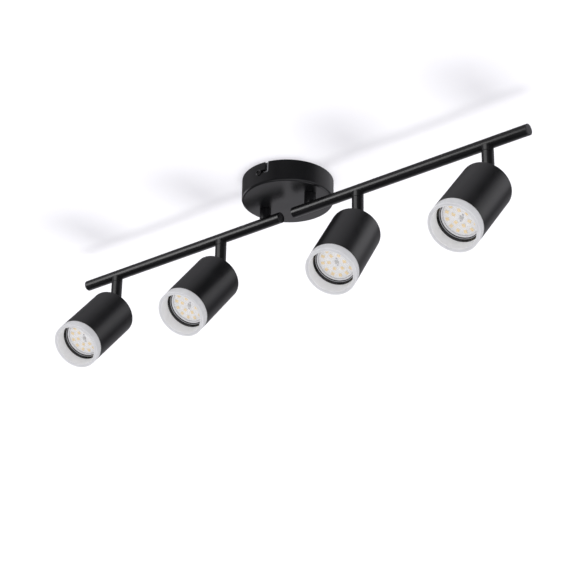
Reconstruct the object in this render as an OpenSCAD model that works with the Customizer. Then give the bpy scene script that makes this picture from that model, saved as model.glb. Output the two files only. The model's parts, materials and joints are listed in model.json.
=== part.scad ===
// Ceiling spotlight bar. A round canopy carries two arms that swivel on hollow posts, and each arm
// carries two round heads that swivel on a short stem and tilt on a knuckle behind the head.
// The origin is the centre of the canopy on the ceiling plane. The lamp hangs down (-Z), the arms
// run along X and the heads lean towards -Y.

/* [Canopy] */
// Outer diameter of the ceiling canopy
canopy_d = 100; // [96:1:110]
// Height of the canopy below the ceiling
canopy_h = 25; // [24:1:30]
// Sheet thickness of the canopy
canopy_wall = 1.2; // [0.8:0.1:1.6]
// Radius of the canopy's bottom edge
canopy_edge_r = 2.5; // [2:0.5:4]
// Depth of the two lock screws below the ceiling
lock_z = 10.8; // [9:0.1:12]
// Width of the bayonet slots that the lock screws run in
lock_slot_w = 3.2; // [3.1:0.1:4]
// Turn of the canopy from the slot's entry to its locked place, in degrees
lock_turn = 11.7; // [9:0.1:15]

/* [Ceiling bracket] */
// Distance between the two ceiling screw slots
screw_spacing = 66; // [62:1:68]
// Width of the ceiling screw slots
screw_slot_w = 5; // [4.5:0.1:5.5]
// Length of the ceiling screw slots
screw_slot_l = 12; // [8:1:14]
// Diameter of the hole for the supply cable
cable_hole_d = 10; // [8:1:12]

/* [Arms] */
// Distance of each arm's post from the middle
post_x = 31; // [29:0.5:33]
// Distance of the arm tubes' axis below the ceiling
tube_z = 41; // [40:0.5:48]
// Outer diameter of the arm tubes
tube_d = 12; // [11.5:0.1:12.4]
// Wall thickness of the arm tubes
tube_wall = 1; // [0.8:0.1:1.2]
// Distance of the tubes' inner ends from the middle
tube_inner_x = 8.5; // [6:0.5:12]
// Distance of the tubes' outer ends from the middle
tube_outer_x = 302.5; // [290:0.5:320]
// Distances of the stems from the middle: the inner and the outer head of each arm
stem_x = [94.5, 254.5]; // [80:0.5:280]
// Diameter of the posts and the stems
stem_d = 12.5; // [12.4:0.1:13]

/* [Heads] */
// Distance of the tilt pivots below the ceiling
pivot_z = 85; // [80:1:95]
// Outer diameter of the heads
head_d = 54; // [54:0.5:58]
// Length of the metal housing
housing_l = 74; // [74:0.5:90]
// Wall thickness of the housing
head_wall = 1.2; // [1:0.1:1.3]
// Distance from the pivot to the rear end of the housing
back_gap = 7.5; // [7:0.1:9]
// Visible length of the frosted ring
ring_show = 9.8; // [6:0.1:14]
// Bore of the frosted ring
ring_bore_d = 46.6; // [45:0.1:47.5]
// Clear opening of the retaining ring in front of the lamp
lamp_window_d = 43.6; // [42:0.1:44.4]

/* [Rest pose] */
// Swivel of each head from straight towards -Y, left to right, in degrees
head_turn = [3, -1.3, 6, -6.6]; // [-10:0.1:10]
// Tilt of each head from straight down, left to right, in degrees
head_tilt = [42.1, 40.3, 36.2, 38.8]; // [0:0.1:90]

/* [Hidden] */
$fn = 96;
eps = 0.01;
run_gap = 0.05;        // radial clearance of a running fit
body_gap = 0.3;        // gap between faces that turn past each other

// canopy and bracket
canopy_r = canopy_d / 2;
bracket_t = 1.5;
bracket_w = 20;
bracket_reach = sqrt(pow(canopy_r - canopy_wall - body_gap, 2) - pow(bracket_w / 2, 2));
ear_drop = lock_z + 6;
lock_screw_r = 1.5;
lock_head_r = 3.5;
lock_head_t = 2.2;
block = [28, 14, 12];
block_y = -15;

// arm posts: a threaded nipple passes the canopy's floor and is held by a washer and a nut
nipple_r = 5;
nipple_top = -12;
post_top = -canopy_h - body_gap;
lead_bore_r = 2.5;
washer_r = 8.5;
washer_t = 1;
nut_across = 14;
nut_h = 4;
tube_axis = -tube_z;
tube_r = tube_d / 2;
stem_r = stem_d / 2;
saddle = 3;            // how far from the tube's axis a welded post or stub starts
plug_l = 7;
plug_recess = 1;
cap_t_outer = 1.2;     // flat rim of the outer end cap
cap_bevel = 0.3;
lead_r = 0.8;

// swivel between a stub and its stem: a spigot in a bore, held by a snap ring
seam_z = tube_axis - tube_r - 3.2;
spigot_r = 4;
spigot_l = 12;
clip_drop = 8;         // depth of the snap ring below the seam
clip_t = 1;
clip_r = 4.6;
clip_seat_r = 3.4;

// knuckle, seen from the pivot: two outer ears on the stem, two inner ears on the back cap
fork_root = 5.2;
fork_ear_r = 4.5;
fork_ear_x = 3.9;
cap_ear_r = 4.2;
cap_ear_x = [1.9, 3.6];
rivet_r = 1.5;
rivet_head_r = 2.3;
rivet_seat_x = 5.5;
wire_bore_r = 1.8;

// head, measured along its own axis from the pivot (downwards is negative)
head_r = head_d / 2;
bore_r = head_r - head_wall;
slip = 0.05;           // radial play of the pieces that sit in the housing
back_z = -back_gap;
cap_z = back_z - 0.8;
cap_t = 2.5;
mouth_z = back_z - housing_l;
front_z = mouth_z - ring_show;
spigot_in = 4.2;       // length of the frosted ring inside the housing
ring_rear_z = mouth_z + spigot_in;
retainer_l = 4;
lamp_z = ring_rear_z + retainer_l + 0.1;
lamp_rim_r = 24.9;
lens_r = 19.3;
lens_t = 1;
board_t = 1.2;
board_z = lamp_z + 1.9;
pin_x = 5;
lamp_end_z = lamp_z + 45.3;
holder_z = lamp_end_z + 0.3;
holder_r = 14;
holder_l = 11.5;
boss_r = 9;
edge_r = 0.6;

ARMS = ["left", "right"];
ARM_PARTS = ["arm_tube", "arm_end_caps", "arm_post", "stem_stubs", "arm_fasteners", "arm_leads"];
HEAD_PARTS = ["swivel_stem", "pivot_rivets", "back_cap", "housing", "lamp_holder", "lamp_body",
              "led_board", "lamp_cover", "retaining_ring", "frosted_ring", "head_leads"];

black = "#1d1d1f";
steel = "#b9bcc0";

// ---- shared shapes ----

// A ring or a disc between two heights.
module ring(r, bore, z0, z1) {
    difference() {
        translate([0, 0, z0]) cylinder(r = r, h = z1 - z0);
        if (bore > 0) translate([0, 0, z0 - 1]) cylinder(r = bore, h = z1 - z0 + 2);
    }
}

// Half section of a cup that opens upwards at y = 0, with a round bottom edge.
module cup_section(r, depth, edge) {
    translate([0, -depth]) square([r - edge, depth]);
    translate([0, edge - depth]) square([r, depth - edge]);
    translate([r - edge, edge - depth]) circle(r = edge);
}

// The places of the two lock screws: the children point outwards along -Y and +Y.
module at_locks() {
    for (turn = [0, 180]) rotate([0, 0, turn]) translate([0, 0, -lock_z]) children();
}

// The right arm as drawn, or turned half round for the left one.
module at_arm(i) rotate([0, 0, i == 0 ? 180 : 0]) children();

// The place of head i: heads 0 and 1 are on the left arm, 2 and 3 on the right one.
function head_x(i) = i < 2 ? -stem_x[1 - i] : stem_x[i - 2];
module at_pivot(i) translate([head_x(i), 0, -pivot_z]) rotate([0, 0, head_turn[i]]) children();
module at_head(i) at_pivot(i) rotate([-head_tilt[i], 0, 0]) children();

// ---- canopy and ceiling bracket ----

module canopy() {
    inner = canopy_r - canopy_wall;
    color(black) difference() {
        rotate_extrude() cup_section(canopy_r, canopy_h, canopy_edge_r);
        rotate_extrude() {
            cup_section(inner, canopy_h - canopy_wall, canopy_edge_r - canopy_wall);
            square([inner, 1]);
        }
        for (x = [-post_x, post_x])
            translate([x, 0, -canopy_h - 1]) cylinder(r = nipple_r + run_gap, h = canopy_wall + 2);
        at_locks() bayonet_slot();
    }
}

// A slot that enters at the rim, goes down and turns back to the lock screw.
module bayonet_slot() {
    half = lock_slot_w / 2;
    rotate([90, 0, 0]) cylinder(r = half, h = canopy_r + 2);
    rotate([0, 0, -90]) rotate_extrude(angle = lock_turn)
        translate([canopy_r - 2 * canopy_wall, -half]) square([2 * canopy_wall + 2, lock_slot_w]);
    rotate([0, 0, lock_turn]) {
        rotate([90, 0, 0]) cylinder(r = half, h = canopy_r + 2);
        translate([-half, -canopy_r - 2, 0]) cube([lock_slot_w, 2 * canopy_wall + 3, lock_z + 1]);
    }
}

module ceiling_bracket() {
    color(steel) difference() {
        union() {
            translate([-bracket_w / 2, -bracket_reach, -bracket_t])
                cube([bracket_w, 2 * bracket_reach, bracket_t]);
            for (s = [-1, 1])
                translate([-bracket_w / 2, s * (bracket_reach - bracket_t / 2) - bracket_t / 2, -ear_drop])
                    cube([bracket_w, bracket_t, ear_drop]);
        }
        translate([0, 0, -bracket_t - 1]) cylinder(d = cable_hole_d, h = bracket_t + 2);
        for (y = [-1, 1] * screw_spacing / 2) translate([0, y, -bracket_t - 1]) screw_slot();
        at_locks() rotate([90, 0, 0]) cylinder(r = lock_screw_r + run_gap, h = canopy_r);
    }
}

module screw_slot() {
    reach = (screw_slot_l - screw_slot_w) / 2;
    translate([-screw_slot_w / 2, -reach, 0]) cube([screw_slot_w, 2 * reach, bracket_t + 2]);
    for (y = [-reach, reach]) translate([0, y, 0]) cylinder(d = screw_slot_w, h = bracket_t + 2);
}

// Pan-head lock screws with a cross recess.
module canopy_screws() {
    color(black) at_locks() rotate([90, 0, 0]) difference() {
        union() {
            translate([0, 0, bracket_reach - 6])
                cylinder(r = lock_screw_r, h = canopy_r - bracket_reach + 6 + eps);
            translate([0, 0, canopy_r + eps]) {
                cylinder(r = lock_head_r, h = lock_head_t - 0.8);
                translate([0, 0, lock_head_t - 0.8]) cylinder(r1 = lock_head_r, r2 = lock_head_r - 0.8, h = 0.8);
            }
        }
        for (turn = [0, 90]) rotate([0, 0, turn])
            translate([-2, -0.4, canopy_r + lock_head_t - 1]) cube([4, 0.8, 2]);
    }
}

// Three-pole terminal block with a fly lead towards each post.
module terminal_block() {
    top = -bracket_t;
    color("white") difference() {
        translate([-block[0] / 2, block_y - block[1] / 2, top - block[2]]) cube(block);
        for (x = [-9, 0, 9]) {
            translate([x, block_y - block[1] / 2 - 1, top - block[2] / 2])
                rotate([-90, 0, 0]) cylinder(d = 4, h = block[1] + 2);
            translate([x, block_y, top - block[2] - 1]) cylinder(d = 3.6, h = 4);
        }
    }
    color("saddlebrown") for (s = [-1, 1])
        translate([s * 9, block_y + block[1] / 2 - 4, top - block[2] / 2]) {
            rotate([-90, 0, 0]) cylinder(r = lead_r, h = 8);
            translate([0, 8, 0]) rotate([0, s * 90, 0]) cylinder(r = lead_r, h = 10);
        }
}

// ---- arms: drawn on +X ----

module arm_tube() {
    length = tube_outer_x - cap_t_outer - tube_inner_x;
    color(black) difference() {
        translate([tube_inner_x, 0, tube_axis]) rotate([0, 90, 0]) ring(tube_r, tube_r - tube_wall, 0, length);
        translate([post_x, 0, tube_axis]) cylinder(r = lead_bore_r, h = tube_r + 1);
        for (x = stem_x) translate([x, 0, tube_axis - tube_r - 1]) cylinder(r = lead_bore_r, h = tube_r + 1);
    }
}

// Plastic plugs: the inner one sits back from the tube's end, the outer one covers it with a flat rim.
module arm_end_caps() {
    r = tube_r - tube_wall - slip;
    outer_x = tube_outer_x - cap_t_outer;
    color("#242426") translate([0, 0, tube_axis]) rotate([0, 90, 0]) {
        translate([0, 0, tube_inner_x + plug_recess]) cylinder(r = r, h = plug_l);
        translate([0, 0, outer_x - plug_l]) cylinder(r = r, h = plug_l + eps);
        translate([0, 0, outer_x]) cylinder(r = tube_r, h = cap_t_outer - cap_bevel);
        translate([0, 0, tube_outer_x - cap_bevel])
            cylinder(r1 = tube_r, r2 = tube_r - cap_bevel, h = cap_bevel);
    }
}

module arm_post() {
    color(black) difference() {
        union() {
            translate([post_x, 0, tube_axis + saddle]) cylinder(r = stem_r, h = post_top - tube_axis - saddle);
            translate([post_x, 0, post_top - eps]) cylinder(r = nipple_r, h = nipple_top - post_top);
        }
        translate([tube_inner_x, 0, tube_axis]) rotate([0, 90, 0]) cylinder(r = tube_r, h = 2 * post_x);
        translate([post_x, 0, tube_axis]) cylinder(r = lead_bore_r, h = tube_z);
    }
}

// Short stubs under the tube, each with the spigot that its stem turns on.
module stem_stubs() {
    color(black) for (x = stem_x) difference() {
        union() {
            translate([x, 0, seam_z]) cylinder(r = stem_r, h = tube_axis - saddle - seam_z);
            translate([x, 0, seam_z - spigot_l]) cylinder(r = spigot_r, h = spigot_l + eps);
        }
        translate([x - stem_d, 0, tube_axis]) rotate([0, 90, 0]) cylinder(r = tube_r, h = 2 * stem_d);
        translate([x, 0, seam_z - spigot_l - 1]) cylinder(r = lead_bore_r, h = tube_z);
        translate([x, 0, seam_z - clip_drop]) difference() {
            cylinder(r = spigot_r + 1, h = clip_t);
            translate([0, 0, -1]) cylinder(r = clip_seat_r, h = clip_t + 2);
        }
    }
}

// The post's washer and hexagon nut, and the snap ring of each stem.
module arm_fasteners() {
    washer_z = -canopy_h + canopy_wall + body_gap;
    color(steel) {
        translate([post_x, 0, 0]) ring(washer_r, nipple_r, washer_z, washer_z + washer_t);
        translate([post_x, 0, washer_z + washer_t]) difference() {
            cylinder(d = nut_across / cos(30), h = nut_h, $fn = 6);
            translate([0, 0, -1]) cylinder(r = nipple_r, h = nut_h + 2);
        }
        for (x = stem_x) translate([x, 0, seam_z - clip_drop]) difference() {
            ring(clip_r, clip_seat_r, 0, clip_t);
            translate([-1, 0, -1]) cube([2, clip_r + 1, clip_t + 2]);
        }
    }
}

// Leads from the nipple's top along the tube and down each stub.
module arm_leads() {
    foot_z = seam_z - spigot_l + 1;
    color("saddlebrown") {
        translate([post_x, 0, tube_axis]) cylinder(r = lead_r, h = nipple_top - tube_axis + 2);
        translate([post_x, 0, tube_axis]) rotate([0, 90, 0]) cylinder(r = lead_r, h = stem_x[1] - post_x);
        for (x = concat(post_x, stem_x)) translate([x, 0, tube_axis]) sphere(r = lead_r);
        for (x = stem_x) translate([x, 0, foot_z]) cylinder(r = lead_r, h = tube_axis - foot_z);
    }
}

// ---- stem and knuckle: drawn about the pivot ----

module swivel_stem() {
    top = pivot_z + seam_z - body_gap;
    bore_z = top - spigot_l - 1;
    color(black) difference() {
        union() {
            translate([0, 0, fork_root]) cylinder(r = stem_r, h = top - fork_root);
            intersection() {
                translate([0, 0, -fork_ear_r - 1]) cylinder(r = stem_r, h = 2 * fork_root + fork_ear_r);
                for (s = [-1, 1]) fork_ear(s);
            }
        }
        translate([0, 0, bore_z]) cylinder(r = spigot_r + run_gap, h = spigot_l + 2);
        translate([0, 0, top - clip_drop - 0.05]) cylinder(r = clip_r + 0.3, h = clip_t + 0.7);
        translate([0, 0, fork_root - 1]) cylinder(r = wire_bore_r, h = top);
        rotate([0, 90, 0]) translate([0, 0, -stem_r - 1]) cylinder(r = rivet_r + run_gap, h = stem_d + 2);
        for (s = [-1, 1]) rotate([0, s * 90, 0]) translate([0, 0, rivet_seat_x])
            cylinder(r = rivet_head_r + 0.2, h = 2);
    }
}

module fork_ear(s) {
    thick = stem_r - fork_ear_x;
    translate([s > 0 ? fork_ear_x : -stem_r, 0, 0]) {
        rotate([0, 90, 0]) cylinder(r = fork_ear_r, h = thick);
        translate([0, -fork_ear_r, 0]) cube([thick, 2 * fork_ear_r, fork_root + 1]);
    }
}

module pivot_rivets() {
    color(steel) for (s = [-1, 1]) rotate([0, s * 90, 0]) {
        translate([0, 0, cap_ear_x[0]]) cylinder(r = rivet_r, h = rivet_seat_x - cap_ear_x[0] + 0.2);
        translate([0, 0, rivet_seat_x + 0.1]) cylinder(r = rivet_head_r, h = 0.5);
    }
}

// ---- head: drawn pointing straight down from the pivot ----

module back_cap() {
    ear_t = cap_ear_x[1] - cap_ear_x[0];
    color(black) difference() {
        union() {
            translate([0, 0, cap_z - cap_t]) cylinder(r = bore_r - slip, h = cap_t);
            for (x = [cap_ear_x[0], -cap_ear_x[1]]) translate([x, 0, 0]) {
                rotate([0, 90, 0]) cylinder(r = cap_ear_r, h = ear_t);
                translate([0, -cap_ear_r, cap_z - 1]) cube([ear_t, 2 * cap_ear_r, 1 - cap_z]);
            }
        }
        translate([-cap_ear_x[1] - 1, 0, 0]) rotate([0, 90, 0]) cylinder(r = rivet_r, h = 2 * cap_ear_x[1] + 2);
        translate([0, 0, cap_z - cap_t - 1]) cylinder(r = wire_bore_r, h = cap_t + 2);
    }
}

module housing() {
    color(black) rotate_extrude() {
        translate([bore_r, mouth_z]) square([head_wall, housing_l - edge_r]);
        translate([bore_r, back_z - edge_r]) square([head_wall - edge_r, edge_r]);
        translate([head_r - edge_r, back_z - edge_r]) circle(r = edge_r);
    }
}

// Ceramic two-pin holder, fixed under the back cap.
module lamp_holder() {
    color("ivory") difference() {
        union() {
            translate([0, 0, holder_z]) cylinder(r = holder_r, h = holder_l);
            translate([0, 0, holder_z + holder_l - eps])
                cylinder(r = boss_r, h = cap_z - cap_t - holder_z - holder_l + eps);
        }
        for (x = [-pin_x, pin_x]) translate([x, 0, holder_z - 1]) cylinder(r = 2.8, h = 10);
        translate([0, 0, holder_z + holder_l - 1]) cylinder(r = wire_bore_r + 0.4, h = 10);
    }
}

// Lamp body of 50 mm with its two pins; the front rim surrounds the board's recess.
module lamp_body() {
    color("gainsboro") difference() {
        union() {
            translate([0, 0, lamp_z]) cylinder(r = lamp_rim_r, h = 3);
            translate([0, 0, lamp_z + 3 - eps]) cylinder(r1 = lamp_rim_r - 0.8, r2 = 16, h = 22);
            translate([0, 0, lamp_z + 25 - 2 * eps]) cylinder(r = 14.5, h = 17);
            translate([0, 0, lamp_z + 42 - 3 * eps]) cylinder(r = 12, h = lamp_end_z - lamp_z - 42);
            for (x = [-pin_x, pin_x]) translate([x, 0, lamp_end_z - 1]) {
                cylinder(r = 1.5, h = 7);
                translate([0, 0, 5.5]) cylinder(r = 2.4, h = 2.5);
            }
        }
        translate([0, 0, lamp_z - 1]) cylinder(r = lens_r + 0.1, h = board_z + board_t - lamp_z + 1);
    }
}

module led_board() color("whitesmoke") translate([0, 0, board_z]) cylinder(r = lens_r - 0.2, h = board_t);

module lamp_cover() color("azure", 0.4) translate([0, 0, lamp_z + 0.1]) cylinder(r = lens_r, h = lens_t);

// Black ring in front of the lamp; its bore narrows towards the lamp.
module retaining_ring() {
    color(black) difference() {
        translate([0, 0, ring_rear_z]) cylinder(r = bore_r - slip, h = retainer_l);
        translate([0, 0, ring_rear_z - eps])
            cylinder(d1 = ring_bore_d, d2 = lamp_window_d, h = retainer_l + 2 * eps);
    }
}

// Frosted ring: flush with the housing outside, with a spigot inside it.
module frosted_ring() {
    bore = ring_bore_d / 2;
    color("white", 0.8) rotate_extrude() {
        translate([bore, front_z + edge_r]) square([head_r - bore, ring_show - edge_r]);
        translate([bore, front_z]) square([head_r - bore - edge_r, edge_r + eps]);
        translate([head_r - edge_r, front_z + edge_r]) circle(r = edge_r);
        translate([bore, mouth_z - eps]) square([bore_r - slip - bore, spigot_in + eps]);
    }
}

// Two leads from the holder through the back cap, ending between the knuckle's ears.
module head_leads() {
    foot_z = holder_z + holder_l + 1;
    color("saddlebrown") for (y = [-0.9, 0.9])
        translate([0, y, foot_z]) cylinder(r = lead_r, h = -2 - foot_z);
}

// ---- assembly ----

canopy();
ceiling_bracket();
canopy_screws();
terminal_block();
for (i = [0, 1]) {
    at_arm(i) arm_tube();
    at_arm(i) arm_end_caps();
    at_arm(i) arm_post();
    at_arm(i) stem_stubs();
    at_arm(i) arm_fasteners();
    at_arm(i) arm_leads();
}
for (i = [0:3]) {
    at_pivot(i) swivel_stem();
    at_head(i) pivot_rivets();
    at_head(i) back_cap();
    at_head(i) housing();
    at_head(i) lamp_holder();
    at_head(i) lamp_body();
    at_head(i) led_board();
    at_head(i) lamp_cover();
    at_head(i) retaining_ring();
    at_head(i) frosted_ring();
    at_head(i) head_leads();
}
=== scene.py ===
"""Looks of a ceiling spotlight bar: a round canopy, two swivelling arms and four tilting heads.

Everything is in metres in the CAD model's frame: z = 0 is the ceiling, the lamp hangs down, the
arms run along X and the heads lean towards -Y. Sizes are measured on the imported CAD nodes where
they can be.
"""

import json
import math
from collections import namedtuple

import bmesh
import bpy
from mathutils import Matrix, Vector

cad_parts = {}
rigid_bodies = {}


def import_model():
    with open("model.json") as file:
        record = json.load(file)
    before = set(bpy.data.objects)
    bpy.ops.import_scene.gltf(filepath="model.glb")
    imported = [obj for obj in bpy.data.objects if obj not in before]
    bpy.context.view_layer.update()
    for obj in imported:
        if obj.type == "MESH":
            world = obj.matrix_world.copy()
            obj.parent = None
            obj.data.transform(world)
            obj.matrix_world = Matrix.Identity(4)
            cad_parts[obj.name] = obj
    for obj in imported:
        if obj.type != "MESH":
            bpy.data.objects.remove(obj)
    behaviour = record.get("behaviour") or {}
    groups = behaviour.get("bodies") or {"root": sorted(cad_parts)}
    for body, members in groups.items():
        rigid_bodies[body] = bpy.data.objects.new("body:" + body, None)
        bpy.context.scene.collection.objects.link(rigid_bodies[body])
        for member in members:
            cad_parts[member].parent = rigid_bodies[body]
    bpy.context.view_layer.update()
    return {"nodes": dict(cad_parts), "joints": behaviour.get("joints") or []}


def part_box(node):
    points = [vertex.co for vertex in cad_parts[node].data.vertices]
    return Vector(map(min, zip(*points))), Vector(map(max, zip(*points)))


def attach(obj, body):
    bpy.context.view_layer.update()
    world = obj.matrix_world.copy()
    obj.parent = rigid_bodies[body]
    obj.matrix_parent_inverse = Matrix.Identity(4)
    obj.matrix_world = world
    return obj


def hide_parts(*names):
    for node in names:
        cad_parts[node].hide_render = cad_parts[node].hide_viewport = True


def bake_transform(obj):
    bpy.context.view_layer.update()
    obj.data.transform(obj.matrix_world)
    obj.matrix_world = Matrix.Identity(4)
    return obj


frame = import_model()
NODES = frame["nodes"]
JOINTS = {joint["name"]: joint for joint in frame["joints"]}

MM = 0.001
HEADS = (1, 2, 3, 4)
ARMS = {"left": math.pi, "right": 0.0}  # each arm is drawn on +X and turned about Z

# Sizes that a CAD node's outer shape doesn't give
CANOPY_WALL = 1.2 * MM
CANOPY_EDGE = 2.5 * MM  # round bottom edge
SLOT_WIDTH = 3.8 * MM  # bayonet slot
LOCK_TURN = math.radians(11.7)  # from the slot's entry to the lock screw
NIPPLE_HOLE_R = 5.05 * MM  # in the canopy's floor
NIPPLE_R = 5 * MM  # threaded top of a post
THREAD_PITCH = 1 * MM
LEAD_BORE = 2.5 * MM  # radius of the bore through posts and stubs
POLE_PITCH = 9 * MM  # of the terminal block
TUBE_WALL = 1.0 * MM
CUT_EDGE = 0.15 * MM  # broken edge of a cut sheet or tube
LAMP_TURN = {1: 8.0, 2: 38.0, 3: 11.0, 4: 47.0}  # of each lamp in its holder, degrees

PAST = 1 * MM  # how far a cutter stands out of what it cuts


# ---- measuring the CAD nodes ----

Ring = namedtuple("Ring", "bore radius low high")


def points_of(node, place=Matrix()):
    """A CAD node's vertices in the local frame of place."""
    inverse = place.inverted()
    return [inverse @ v.co for v in NODES[node].data.vertices]


def ring_of(node, place=Matrix(), beyond=0.0):
    """Bore, radius and end heights about the local Z axis of a node's part beyond a radius."""
    found = [p for p in points_of(node, place) if math.hypot(p.x, p.y) >= beyond]
    radii = [math.hypot(p.x, p.y) for p in found]
    heights = [p.z for p in found]
    return Ring(min(radii), max(radii), min(heights), max(heights))


def span_of(node, place=Matrix()):
    """Lowest and highest corner of a node in the local frame of place."""
    found = points_of(node, place)
    return (Vector([min(p[k] for p in found) for k in range(3)]),
            Vector([max(p[k] for p in found) for k in range(3)]))


# ---- materials ----

RANGE_SOCKETS = ("From Min", "From Max", "To Min", "To Max")
PATTERN_LOW, PATTERN_HIGH = 0.3, 0.7  # where most of a noise pattern's values lie


def new_material(name):
    """A node material, its node tree and its shader."""
    material = bpy.data.materials.new(name)
    material.use_nodes = True
    tree = material.node_tree
    return material, tree, tree.nodes["Principled BSDF"]


def noise(tree, scale, detail=3.0):
    """A noise pattern in object space, so it stays on its piece. scale is per metre."""
    place = tree.nodes.new("ShaderNodeTexCoord").outputs["Object"]
    node = tree.nodes.new("ShaderNodeTexNoise")
    node.inputs["Scale"].default_value = scale
    node.inputs["Detail"].default_value = detail
    node.inputs["Roughness"].default_value = 0.55
    tree.links.new(place, node.inputs["Vector"])
    return node.outputs["Fac"]


def spread(tree, value, low, high, start=PATTERN_LOW, end=PATTERN_HIGH):
    """Maps a range of a pattern, from start to end, to a range of values."""
    node = tree.nodes.new("ShaderNodeMapRange")
    for socket, number in zip(RANGE_SOCKETS, (start, end, low, high)):
        node.inputs[socket].default_value = number
    tree.links.new(value, node.inputs["Value"])
    return node.outputs["Result"]


def between(tree, value, low, high):
    """Two colours mixed by a pattern."""
    ramp = tree.nodes.new("ShaderNodeValToRGB")
    stops = ((PATTERN_LOW, low), (PATTERN_HIGH, high))
    for element, (place, colour) in zip(ramp.color_ramp.elements, stops):
        element.position = place
        element.color = (*colour, 1.0)
    tree.links.new(value, ramp.inputs["Fac"])
    return ramp.outputs["Color"]


def bump(tree, shader, heights, depths):
    """Stacks bumps of real depths, in metres, under a shader."""
    normal = None
    for height, depth in zip(heights, depths):
        node = tree.nodes.new("ShaderNodeBump")
        node.inputs["Strength"].default_value = 1.0
        node.inputs["Distance"].default_value = depth
        tree.links.new(height, node.inputs["Height"])
        if normal:
            tree.links.new(normal, node.inputs["Normal"])
        normal = node.outputs["Normal"]
    tree.links.new(normal, shader.inputs["Normal"])


def coated(name, dark, light, rough, grain, grain_depth, cloud=45.0, **constants):
    """A finish with a fine grain, a slow change of tone and an uneven gloss."""
    material, tree, shader = new_material(name)
    slow, fine = noise(tree, cloud, 4.0), noise(tree, grain, 2.0)
    tree.links.new(between(tree, slow, dark, light), shader.inputs["Base Color"])
    tree.links.new(spread(tree, slow, *rough), shader.inputs["Roughness"])
    bump(tree, shader, [slow, fine], [grain_depth * 0.5, grain_depth])
    for socket, value in constants.items():
        shader.inputs[socket.replace("_", " ")].default_value = value
    return material


black_coat = coated("black_powder_coat", (0.0060, 0.0060, 0.0066), (0.0078, 0.0078, 0.0086),
                    (0.28, 0.33), grain=1500.0, grain_depth=4e-6)
black_plastic = coated("black_moulded_plastic", (0.015, 0.015, 0.016), (0.021, 0.021, 0.022),
                       (0.40, 0.50), grain=2600.0, grain_depth=5e-6)
gloss_black = coated("gloss_black_plastic", (0.006, 0.006, 0.006), (0.009, 0.009, 0.009),
                     (0.10, 0.16), grain=900.0, grain_depth=1.5e-6)
screw_black = coated("black_oxide_screw", (0.010, 0.010, 0.011), (0.018, 0.017, 0.016),
                     (0.34, 0.50), grain=1800.0, grain_depth=8e-6, Metallic=0.0)
zinc = coated("zinc_plated_steel", (0.42, 0.43, 0.44), (0.60, 0.61, 0.62),
              (0.26, 0.42), grain=1300.0, grain_depth=4e-6, cloud=160.0, Metallic=1.0)
brass = coated("terminal_brass", (0.60, 0.43, 0.18), (0.74, 0.56, 0.27),
               (0.25, 0.38), grain=1200.0, grain_depth=4e-6, cloud=200.0, Metallic=1.0)
terminal_white = coated("terminal_nylon", (0.68, 0.67, 0.63), (0.76, 0.75, 0.71),
                        (0.42, 0.52), grain=1600.0, grain_depth=8e-6, cloud=120.0)
lead_brown = coated("lead_insulation", (0.10, 0.035, 0.016), (0.13, 0.048, 0.022),
                    (0.38, 0.48), grain=1900.0, grain_depth=5e-6, cloud=200.0)
# A plain light grey, not a mirror: the wire also serves as a painted highlight line.
spring_grey_painted_highlight = coated("spring_wire", (0.36, 0.36, 0.37), (0.46, 0.46, 0.47),
                     (0.30, 0.42), grain=1500.0, grain_depth=3e-6, cloud=180.0)
rectifier_grey = coated("rectifier_moulding", (0.40, 0.39, 0.37), (0.48, 0.465, 0.44),
                        (0.38, 0.50), grain=3000.0, grain_depth=6e-6, cloud=500.0)
ceramic = coated("holder_ceramic", (0.66, 0.65, 0.61), (0.78, 0.77, 0.73),
                 (0.35, 0.60), grain=1400.0, grain_depth=1.5e-5, cloud=200.0)
lamp_white = coated("lamp_shell_plastic", (0.72, 0.72, 0.73), (0.78, 0.78, 0.79),
                    (0.28, 0.36), grain=1500.0, grain_depth=4e-6)
board_white = coated("board_solder_mask", (0.80, 0.79, 0.775), (0.87, 0.86, 0.845),
                     (0.34, 0.44), grain=2200.0, grain_depth=5e-6, cloud=220.0)
phosphor = coated("led_phosphor", (0.86, 0.60, 0.20), (0.94, 0.72, 0.32),
                  (0.45, 0.60), grain=5200.0, grain_depth=1.2e-5, cloud=700.0)
chip_white = coated("led_package", (0.74, 0.73, 0.68), (0.84, 0.83, 0.79),
                    (0.35, 0.45), grain=3000.0, grain_depth=5e-6, cloud=300.0)
solder = coated("solder_pad", (0.34, 0.34, 0.36), (0.52, 0.52, 0.54),
                (0.28, 0.45), grain=3500.0, grain_depth=1.5e-5, cloud=900.0, Metallic=0.6)
# Its white emission colour carries a painted glow that lights the ring from within.
frosted = coated("frosted_acrylic", (0.44, 0.44, 0.445), (0.48, 0.48, 0.485),
                 (0.42, 0.52), grain=2400.0, grain_depth=8e-6, cloud=70.0,
                 Subsurface_Weight=1.0, Subsurface_Scale=0.008, Subsurface_Radius=(1.0, 1.0, 1.0),
                 Emission_Color=(1.0, 1.0, 1.0, 1.0))


def painted_glow_where_shaded(material):
    """Painted light: the acrylic glows, more on its shaded sides than on open ones, in place of
    light that it passes on.
    """
    tree = material.node_tree
    shade = tree.nodes.new("ShaderNodeAmbientOcclusion")
    shade.samples = 8
    shade.inputs["Distance"].default_value = 60 * MM
    # Painted light: the glow is stronger where ambient occlusion finds shade.
    painted_glow_shaded, painted_glow_open = 0.31, 0.16
    glow = spread(tree, shade.outputs["AO"], painted_glow_shaded, painted_glow_open, start=0.35, end=0.95)
    tree.links.new(glow, tree.nodes["Principled BSDF"].inputs["Emission Strength"])


painted_glow_where_shaded(frosted)


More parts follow.
